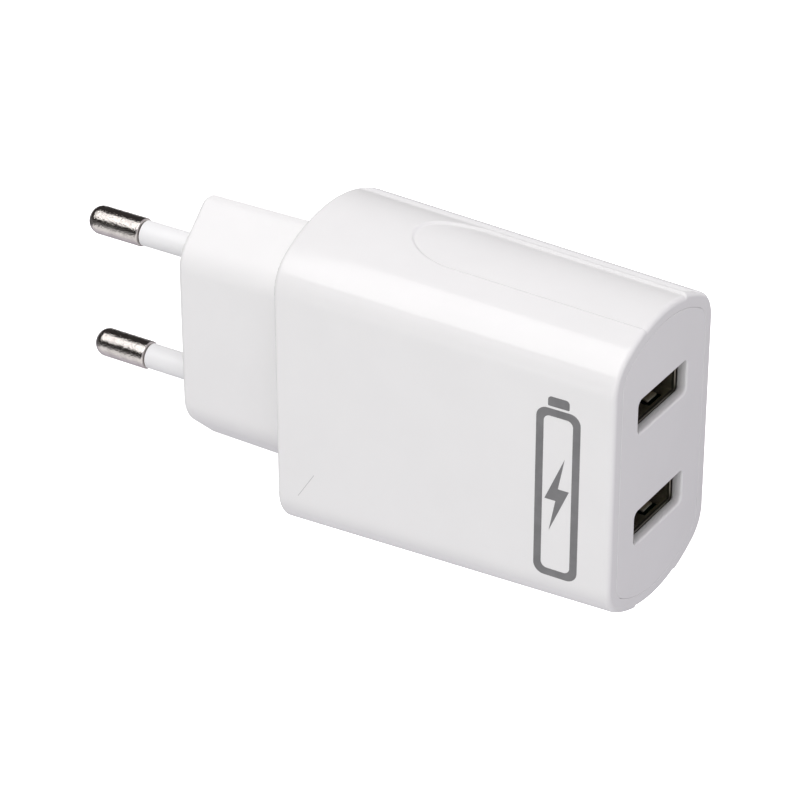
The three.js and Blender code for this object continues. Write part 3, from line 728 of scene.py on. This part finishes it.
# ---------------------------------------------------------------- printed mark

def face_y(x):
    """The broad -Y face's place at x."""
    return drafted(x, -HALF_THICKNESS, 0)[1]


def film(surface, outline, hole=None):
    """Lays a printed shape, an outline in (X, Z), on the broad face as a thin closed film."""
    sides = []
    for points in [outline] + ([hole] if hole else []):
        top = surface.ring([(x, face_y(x) - MARK_FILM, z) for x, z in points])
        under = surface.ring([(x, face_y(x) + MARK_FILM, z) for x, z in points])
        surface.strip(top, under)
        sides.append((top, under))
    surface.fill([top for top, under in sides])
    surface.fill([under for top, under in sides])


def charging_mark():
    """A plain upright battery with a charging bolt, in place of any wording."""
    surface = Surface()
    half = MARK_WIDTH / 2
    body_high = MARK_HIGH - TERMINAL_HEIGHT

    def frame_outline(inset):
        radius = MARK_CORNER - inset * MARK_CORNER_LOSS
        left, right = MARK_X - half + inset, MARK_X + half - inset
        bottom, top = MARK_LOW + inset, body_high - inset
        corners = [(right, bottom), (right, top), (left, top), (left, bottom)]
        return rounded_outline([(x, z, radius) for x, z in corners], 8)

    film(surface, frame_outline(0), frame_outline(MARK_STROKE))
    left, right = MARK_X - TERMINAL_HALF_WIDTH, MARK_X + TERMINAL_HALF_WIDTH
    root = body_high + TERMINAL_GAP
    terminal = [
        (right, root, TERMINAL_ROOT_ROUND), (right, MARK_HIGH, TERMINAL_TOP_ROUND),
        (left, MARK_HIGH, TERMINAL_TOP_ROUND), (left, root, TERMINAL_ROOT_ROUND),
    ]
    film(surface, rounded_outline(terminal, 5))
    bolt_z = (MARK_LOW + body_high) / 2
    half_bolt = [(BOLT_POINT, BOLT_HALF_HEIGHT), (-BOLT_ARM, -BOLT_STEP), (-BOLT_WAIST, -BOLT_STEP)]
    bolt = half_bolt + [(-x, -z) for x, z in half_bolt]
    film(surface, [(MARK_X + x, bolt_z + z) for x, z in bolt])
    return surface.to_object("charging_mark", smooth=False)


# ---------------------------------------------------------------- camera and light

CAMERA_TARGET = Vector((30.0, 0.21, -4.25)) * MM
CAMERA_DISTANCE = 450.7 * MM
CAMERA_AZIMUTH = math.radians(32.156)
CAMERA_ELEVATION = math.radians(30.271)
CAMERA_ROLL = math.radians(-0.104)
CAMERA_LENS = 154.49
CAMERA_SENSOR = 36.0
CAMERA_NEAR = 0.01
CAMERA_FAR = 20

back = Vector((
    math.sin(CAMERA_AZIMUTH) * math.cos(CAMERA_ELEVATION),
    -math.cos(CAMERA_AZIMUTH) * math.cos(CAMERA_ELEVATION),
    math.sin(CAMERA_ELEVATION),
))
camera_data = bpy.data.cameras.new("camera")
camera_data.lens = CAMERA_LENS
camera_data.sensor_width = CAMERA_SENSOR
camera_data.clip_start = CAMERA_NEAR
camera_data.clip_end = CAMERA_FAR
camera = bpy.data.objects.new("camera", camera_data)
camera.location = CAMERA_TARGET + back * CAMERA_DISTANCE
aim = (-back).to_track_quat("-Z", "Y").to_matrix().to_4x4()
aim = aim @ Matrix.Rotation(CAMERA_ROLL, 4, "Z")
camera.rotation_euler = aim.to_euler()
scene.collection.objects.link(camera)
scene.camera = camera
scene.view_settings.view_transform = "Standard"

# The surroundings: what lights from -X, what mirrors from -X, both from +X, and how wide
# the change between the sides is in each
AMBIENT_LEFT = (0.34, 0.333, 0.338)
MIRRORED_LEFT = (0.04, 0.037, 0.036)
AMBIENT_RIGHT = (0.512, 0.49, 0.524)
AMBIENT_BLEND = 0.05
MIRRORED_BLEND = 0.16

# The light from below: its place along Y in metres and its colour there
FLOOR_GLOW = (
    (-0.06, (0.915, 0.912, 0.91)),
    (-0.015, (0.6, 0.575, 0.625)),
    (0.04, (0.4, 0.387, 0.415)),
    (0.12, (0.34, 0.33, 0.35)),
    (0.22, (0.5, 0.49, 0.51)),
    (0.35, (0.8, 0.79, 0.8)),
)
GLOW_LEFT = -0.1
GLOW_LEFT_FADE = 0.05
GLOW_LEFT_SHARE = 0.15
GLOW_LEFT_BACK = (0.02, 0.15)

# The key and the strip beside it lie in one plane, with their edges given as shares of its distance
KEY_COLOR = (0.995, 0.987, 0.975)
KEY_RADIANCE = 2.23
KEY_DISTANCE = 0.6
KEY_LEFT = -0.5
KEY_RIGHT = 0.57
KEY_LOW = -0.47
KEY_HIGH = 0.65
STRIP_LEFT = -0.98
STRIP_RIGHT = -0.61
STRIP_RADIANCE = 2.1
RIM_RADIANCE = 1.35
RIM_SIZE = 0.5
RIM_PLACE = Vector((-0.12, 0.54, 0.24))
FLOOR_Z = -0.06
FLOOR_SIZE = 8
FLOOR_ROUGHNESS = 0.8


def map_range(tree, value, before, after=(0, 1)):
    """A node that takes a value from one range to another."""
    node = tree.nodes.new("ShaderNodeMapRange")
    node.inputs["From Min"].default_value = before[0]
    node.inputs["From Max"].default_value = before[1]
    node.inputs["To Min"].default_value = after[0]
    node.inputs["To Max"].default_value = after[1]
    tree.links.new(value, node.inputs["Value"])
    return node


# The Mix node's sockets for colours
MIX_A = 6
MIX_B = 7
MIX_RESULT = 2


def shade_world(tree):
    """White where the camera looks, and elsewhere a soft grey that is darker towards -X."""
    nodes = tree.nodes
    links = tree.links
    nodes.clear()
    output = nodes.new("ShaderNodeOutputWorld")
    mix = nodes.new("ShaderNodeMixShader")
    seen = nodes.new("ShaderNodeLightPath")
    direction = nodes.new("ShaderNodeTexCoord")
    split = nodes.new("ShaderNodeSeparateXYZ")
    links.new(direction.outputs["Generated"], split.inputs[0])
    across = map_range(tree, split.outputs["X"], (-1, 1))
    lights = (MIX_A, AMBIENT_LEFT, AMBIENT_BLEND)
    mirrors = (MIX_B, MIRRORED_LEFT, MIRRORED_BLEND)
    side = nodes.new("ShaderNodeMix")
    side.data_type = "RGBA"
    for socket, left, blend in (lights, mirrors):
        ramp = nodes.new("ShaderNodeValToRGB")
        ramp.color_ramp.interpolation = "EASE"
        ramp.color_ramp.elements[0].position = 0.5 - blend
        ramp.color_ramp.elements[0].color = (*left, 1)
        ramp.color_ramp.elements[1].position = 0.5 + blend
        ramp.color_ramp.elements[1].color = (*AMBIENT_RIGHT, 1)
        links.new(across.outputs["Result"], ramp.inputs["Fac"])
        links.new(ramp.outputs["Color"], side.inputs[socket])
    soft = nodes.new("ShaderNodeBackground")
    white = nodes.new("ShaderNodeBackground")
    white.inputs["Color"].default_value = (1, 1, 1, 1)
    links.new(seen.outputs["Is Glossy Ray"], side.inputs["Factor"])
    links.new(side.outputs[MIX_RESULT], soft.inputs["Color"])
    links.new(seen.outputs["Is Camera Ray"], mix.inputs[0])
    links.new(soft.outputs[0], mix.inputs[1])
    links.new(white.outputs[0], mix.inputs[2])
    links.new(mix.outputs[0], output.inputs[0])


world = bpy.data.worlds.new("studio")
scene.world = world
world.use_nodes = True
shade_world(world.node_tree)


def softbox(name, place_at, facing, width, height, radiance, color):
    """A rectangular light with a given radiance, whose front looks along facing."""
    data = bpy.data.lights.new(name, "AREA")
    data.shape = "RECTANGLE"
    data.size = width
    data.size_y = height
    data.color = color
    data.energy = radiance * math.pi * width * height
    light = bpy.data.objects.new(name, data)
    light.location = place_at
    light.rotation_euler = (-facing).to_track_quat("Z", "Y").to_euler()
    light.visible_camera = False
    scene.collection.objects.link(light)
    return light


def key_panel(name, left, right, radiance):
    """A light in the key's plane, which stands square to a line 60 degrees up towards -Y."""
    normal = Vector((0, -0.5, 0.866)).normalized()
    up = Vector((0, 0.866, 0.5)).normalized()
    middle = normal + up * (KEY_HIGH + KEY_LOW) / 2
    middle += Vector((1, 0, 0)) * (right + left) / 2
    width = (right - left) * KEY_DISTANCE
    height = (KEY_HIGH - KEY_LOW) * KEY_DISTANCE
    return softbox(name, middle * KEY_DISTANCE, -normal, width, height, radiance, KEY_COLOR)


key_panel("key_softbox", KEY_LEFT, KEY_RIGHT, KEY_RADIANCE)
strip = key_panel("pin_strip", STRIP_LEFT, STRIP_RIGHT, STRIP_RADIANCE)
strip.visible_diffuse = False
rim = softbox("rim_light", RIM_PLACE, -RIM_PLACE, RIM_SIZE, RIM_SIZE, RIM_RADIANCE, KEY_COLOR)
rim.visible_glossy = False


def floor_plane(name, z, base, glow):
    half = FLOOR_SIZE / 2 / MM
    surface = Surface()
    corners = [(-half, -half), (half, -half), (half, half), (-half, half)]
    surface.faces.append(tuple(surface.ring([(x, y, z / MM) for x, y in corners])))
    plane = surface.to_object(name)
    look = bpy.data.materials.new(name)
    look.use_nodes = True
    shader = look.node_tree.nodes["Principled BSDF"]
    shader.inputs["Base Color"].default_value = (*base, 1)
    shader.inputs["Roughness"].default_value = FLOOR_ROUGHNESS
    shader.inputs["Emission Color"].default_value = (*glow, 1)
    shader.inputs["Emission Strength"].default_value = 1
    plane.data.materials.append(look)
    plane.visible_shadow = False
    return plane


# The pale floor that only the camera sees, and under it a panel that lights the object from below
floor = floor_plane("floor", FLOOR_Z, (0.8, 0.8, 0.8), (1, 1, 1))
floor.visible_diffuse = False
floor.visible_glossy = False
floor.visible_transmission = False
glow = floor_plane("floor_glow", FLOOR_Z - MM, (0, 0, 0), (1, 1, 1))
glow.visible_camera = False


def shade_floor_glow(tree):
    """Colours the panel by its place along Y, and dims its front part on the -X side."""
    shader = tree.nodes["Principled BSDF"]
    place_node = tree.nodes.new("ShaderNodeTexCoord")
    split = tree.nodes.new("ShaderNodeSeparateXYZ")
    tree.links.new(place_node.outputs["Object"], split.inputs[0])
    first, last = FLOOR_GLOW[0][0], FLOOR_GLOW[-1][0]
    along = map_range(tree, split.outputs["Y"], (first, last))
    ramp = tree.nodes.new("ShaderNodeValToRGB")
    ramp.color_ramp.interpolation = "EASE"
    stops = ramp.color_ramp.elements
    for y, color in FLOOR_GLOW[1:-1]:
        stops.new((y - first) / (last - first))
    for stop, (y, color) in zip(stops, FLOOR_GLOW):
        stop.color = (*color, 1)
    tree.links.new(along.outputs["Result"], ramp.inputs["Fac"])
    tree.links.new(ramp.outputs["Color"], shader.inputs["Emission Color"])
    dimmed = map_range(tree, split.outputs["Y"], GLOW_LEFT_BACK, (GLOW_LEFT_SHARE, 1))
    side = map_range(tree, split.outputs["X"], (GLOW_LEFT - GLOW_LEFT_FADE, GLOW_LEFT))
    side.interpolation_type = "SMOOTHSTEP"
    tree.links.new(dimmed.outputs["Result"], side.inputs["To Min"])
    tree.links.new(side.outputs["Result"], shader.inputs["Emission Strength"])


shade_floor_glow(glow.data.materials[0].node_tree)


# ---------------------------------------------------------------- materials

RING_SKEW = 0.12
RING_PITCH = 0.5
MOTTLE_SHARE = 0.985
MOTTLE_RANGE = (0.35, 0.65)
GRAIN_RANGE = (0.3, 0.7)
ROUGHNESS_FLOOR = 0.02


def scaled(tree, color, share):
    """The colour multiplied by what a Map Range node gives."""
    node = tree.nodes.new("ShaderNodeVectorMath")
    node.operation = "SCALE"
    tree.links.new(color, node.inputs[0])
    tree.links.new(share.outputs["Result"], node.inputs["Scale"])
    return node.outputs["Vector"]


def with_painted_shade(tree, place_node, color, painted_shade):
    """Painted shade: the colour multiplied by a share that changes between two places along X."""
    x0, share0, x1, share1 = painted_shade
    split = tree.nodes.new("ShaderNodeSeparateXYZ")
    tree.links.new(place_node.outputs["Object"], split.inputs[0])
    share = map_range(tree, split.outputs["X"], (x0 * MM, x1 * MM), (share0, share1))
    return scaled(tree, color, share)


def scratched(tree, place_node, color, scratch):
    """The colour with a straight hairline drawn across the -Y side in a darker share of it."""
    x, z, angle, length, width, share = scratch
    turn = tree.nodes.new("ShaderNodeMapping")
    turn.vector_type = "TEXTURE"
    turn.inputs["Location"].default_value = (x * MM, 0, z * MM)
    turn.inputs["Rotation"].default_value = (0, -angle, 0)
    tree.links.new(place_node.outputs["Object"], turn.inputs["Vector"])
    split = tree.nodes.new("ShaderNodeSeparateXYZ")
    tree.links.new(turn.outputs["Vector"], split.inputs[0])
    insides = []
    spans = (("X", 0, length / 2), ("Z", 0, width / 2), ("Y", -HALF_THICKNESS, HALF_THICKNESS))
    for axis, middle, half in spans:
        inside = tree.nodes.new("ShaderNodeMath")
        inside.operation = "COMPARE"
        tree.links.new(split.outputs[axis], inside.inputs[0])
        inside.inputs[1].default_value = middle * MM
        inside.inputs[2].default_value = half * MM
        insides.append(inside)
    mask = insides[0]
    for inside in insides[1:]:
        both = tree.nodes.new("ShaderNodeMath")
        both.operation = "MULTIPLY"
        tree.links.new(mask.outputs[0], both.inputs[0])
        tree.links.new(inside.outputs[0], both.inputs[1])
        mask = both
    return scaled(tree, color, map_range(tree, mask.outputs[0], (0, 1), (1, share)))


def ringed(tree, place_node, height, weight):
    """The height with uneven turning marks round X added to it."""
    squeeze = tree.nodes.new("ShaderNodeMapping")
    squeeze.inputs["Scale"].default_value = (1, RING_SKEW, RING_SKEW)
    tree.links.new(place_node.outputs["Object"], squeeze.inputs["Vector"])
    marks = tree.nodes.new("ShaderNodeTexNoise")
    marks.inputs["Scale"].default_value = 1 / (RING_PITCH * MM)
    marks.inputs["Detail"].default_value = 1
    tree.links.new(squeeze.outputs["Vector"], marks.inputs["Vector"])
    both = tree.nodes.new("ShaderNodeMath")
    both.operation = "MULTIPLY_ADD"
    tree.links.new(marks.outputs["Fac"], both.inputs[0])
    both.inputs[1].default_value = weight
    tree.links.new(height, both.inputs[2])
    return both.outputs["Value"]


def material(name, base, tint=None, roughness=0.4, rough_spread=0.05, metallic=0.0,
             grain=0.3, grain_height=0.004, mottle=8.0, ior=1.5, painted_shade=None, rings=0.0, scratch=None):
    """A moulded or plated surface: mottled colour, uneven roughness and a fine grain.

    grain and mottle are feature sizes in millimetres, grain_height is in millimetres.
    painted_shade, a painted shade, darkens the colour between two places along X: (x, share, x,
    share).
    rings is the height in millimetres of turning marks round X.
    scratch is a hairline on the -Y side: (x, z, angle, length, width, share of the colour).
    """
    look = bpy.data.materials.new(name)
    look.use_nodes = True
    tree = look.node_tree
    shader = tree.nodes["Principled BSDF"]
    shader.inputs["Metallic"].default_value = metallic
    shader.inputs["IOR"].default_value = ior
    place_node = tree.nodes.new("ShaderNodeTexCoord")
    broad = tree.nodes.new("ShaderNodeTexNoise")
    broad.inputs["Scale"].default_value = 1 / (mottle * MM)
    broad.inputs["Detail"].default_value = 3
    tree.links.new(place_node.outputs["Object"], broad.inputs["Vector"])
    ramp = tree.nodes.new("ShaderNodeValToRGB")
    other = tint or tuple(value * MOTTLE_SHARE for value in base)
    for stop, position, shade in zip(ramp.color_ramp.elements, MOTTLE_RANGE, (other, base)):
        stop.position = position
        stop.color = (*shade, 1)
    tree.links.new(broad.outputs["Fac"], ramp.inputs["Fac"])
    color = ramp.outputs["Color"]
    # Painted shade along X, where asked
    if painted_shade:
        color = with_painted_shade(tree, place_node, color, painted_shade)
    if scratch:
        color = scratched(tree, place_node, color, scratch)
    tree.links.new(color, shader.inputs["Base Color"])
    speck = tree.nodes.new("ShaderNodeTexNoise")
    speck.inputs["Scale"].default_value = 1 / (grain * MM)
    speck.inputs["Detail"].default_value = 4
    tree.links.new(place_node.outputs["Object"], speck.inputs["Vector"])
    smoothest = max(roughness - rough_spread, ROUGHNESS_FLOOR)
    rough_range = (smoothest, roughness + rough_spread)
    rough = map_range(tree, speck.outputs["Fac"], GRAIN_RANGE, rough_range)
    tree.links.new(rough.outputs["Result"], shader.inputs["Roughness"])
    bump = tree.nodes.new("ShaderNodeBump")
    bump.inputs["Strength"].default_value = 1
    bump.inputs["Distance"].default_value = grain_height * MM
    height = speck.outputs["Fac"]
    if rings:
        height = ringed(tree, place_node, height, rings / grain_height)
    tree.links.new(height, bump.inputs["Height"])
    tree.links.new(bump.outputs["Normal"], shader.inputs["Normal"])
    return look


HAIRLINE = (
    HAIRLINE_X, HAIRLINE_Z, math.atan2(HAIRLINE_RISE, HAIRLINE_RUN),
    HAIRLINE_LENGTH, HAIRLINE_WIDTH, HAIRLINE_SHARE,
)
# Painted shade: the socket steel darkened at the shell's mouth
MOUTH_PAINTED_SHADE = (SHELL_MOUTH_X - SHELL_PAINTED_SHADE_START, 1, SHELL_MOUTH_X - SHELL_PAINTED_SHADE_END, SHELL_PAINTED_SHADE_SHARE)

LOOKS = {
    "gloss_white_abs": material("gloss_white_abs", (0.86, 0.86, 0.86), roughness=0.11,
                                rough_spread=0.03, grain=0.5, grain_height=0.0004,
                                scratch=HAIRLINE),
    "face_white_abs": material("face_white_abs", (0.86, 0.86, 0.86), roughness=0.42,
                               grain=0.25, grain_height=0.0015),
    "satin_white_abs": material("satin_white_abs", (0.885, 0.885, 0.885), roughness=0.5,
                                grain=0.25, grain_height=0.002),
    "pin_insulation": material("pin_insulation", (0.88, 0.885, 0.89), roughness=0.45,
                               grain=0.25, grain_height=0.002),
    "nickel_plate": material("nickel_plate", (0.74, 0.7, 0.675), tint=(0.64, 0.6, 0.58),
                             roughness=0.06, rough_spread=0.03, metallic=1, grain=0.27,
                             grain_height=0.058, mottle=1.2, rings=0.045),
    "sprung_brass": material("sprung_brass", (0.62, 0.55, 0.34), roughness=0.3, metallic=1,
                             grain=0.2, mottle=1.5),
    # The socket steel carries painted shade at the shell's mouth
    "socket_steel": material("socket_steel", (0.6, 0.57, 0.47), roughness=0.32, metallic=1,
                             grain=0.15, grain_height=0.002, mottle=1.5, painted_shade=MOUTH_PAINTED_SHADE),
    "black_plastic": material("black_plastic", (0.02, 0.02, 0.021), roughness=0.45, grain=0.15),
    "ferrite": material("ferrite", (0.045, 0.045, 0.05), roughness=0.6, grain=0.2),
    "capacitor_can": material("capacitor_can", (0.018, 0.02, 0.035), roughness=0.3, grain=0.4),
    "circuit_board": material("circuit_board", (0.02, 0.11, 0.05), tint=(0.015, 0.08, 0.035),
                              roughness=0.4, grain=0.3, mottle=1.2),
    "winding_tape": material("winding_tape", (0.75, 0.5, 0.03), roughness=0.35, grain=0.4),
    "blue_coating": material("blue_coating", (0.03, 0.12, 0.36), roughness=0.35, grain=0.3),
    "beige_coating": material("beige_coating", (0.6, 0.47, 0.27), roughness=0.5, grain=0.3),
    "grey_print": material("grey_print", (0.2, 0.2, 0.205), tint=(0.165, 0.165, 0.17),
                           roughness=0.35, grain=0.2, grain_height=0.001, mottle=2.5),
    "clear_film": material("clear_film", (0.7, 0.69, 0.6), roughness=0.3, grain=0.5),
}

SLOT_STARTS = {
    "housing_sleeve": "gloss_white_abs",
    "usb_face_plate": "face_white_abs",
    "plug_base": "satin_white_abs",
    "pin_sleeve": "pin_insulation",
    "pin_clip": "sprung_brass",
    "pin_": "nickel_plate",
    "usb_shell": "socket_steel",
    "usb_insulator": "black_plastic",
    "usb_contact": "sprung_brass",
    "transformer_core": "ferrite",
    "transformer_bobbin": "black_plastic",
    "transformer_winding": "winding_tape",
    "input_capacitor": "capacitor_can",
    "output_capacitor": "capacitor_can",
    "input_choke": "ferrite",
    "main_board": "circuit_board",
    "safety_capacitor": "blue_coating",
    "fuse_resistor": "beige_coating",
    "insulating_sheet": "clear_film",
    "bridge_rectifier": "black_plastic",
    "controller_ic": "black_plastic",
    "rectifier_diode": "black_plastic",
    "usb_charge_ic": "black_plastic",
}


def slot_of(node_name):
    """The material slot of a CAD node, by how its name starts."""
    for start, slot_name in SLOT_STARTS.items():
        if node_name.startswith(start):
            return slot_name
    raise ValueError(f"no material slot for {node_name}")


for name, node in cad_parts.items():
    node.data.materials.clear()
    node.data.materials.append(LOOKS[slot_of(name)])

place(housing_sleeve(), "gloss_white_abs", "housing_sleeve")
place(face_plate(), "face_white_abs", "usb_face_plate")
place(plug_base_body(), "satin_white_abs", "plug_base")
for level, side in (("upper", 1), ("lower", -1)):
    z0 = side * PIN_SPACING / 2
    body = turned(pin_profile(), z0).to_object(f"pin_body_{level}")
    place(body, "nickel_plate", f"pin_{level}")
    skin = pin_sleeve(f"pin_insulation_{level}", z0)
    place(skin, "pin_insulation", f"pin_sleeve_{level}")

for level, z0 in PORTS.items():
    place(usb_shell(level, z0), "socket_steel", f"usb_shell_{level}")
    place(usb_insulator(level, z0), "black_plastic", f"usb_insulator_{level}")
mark = charging_mark()
mark.data.materials.append(LOOKS["grey_print"])
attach(mark, "root")
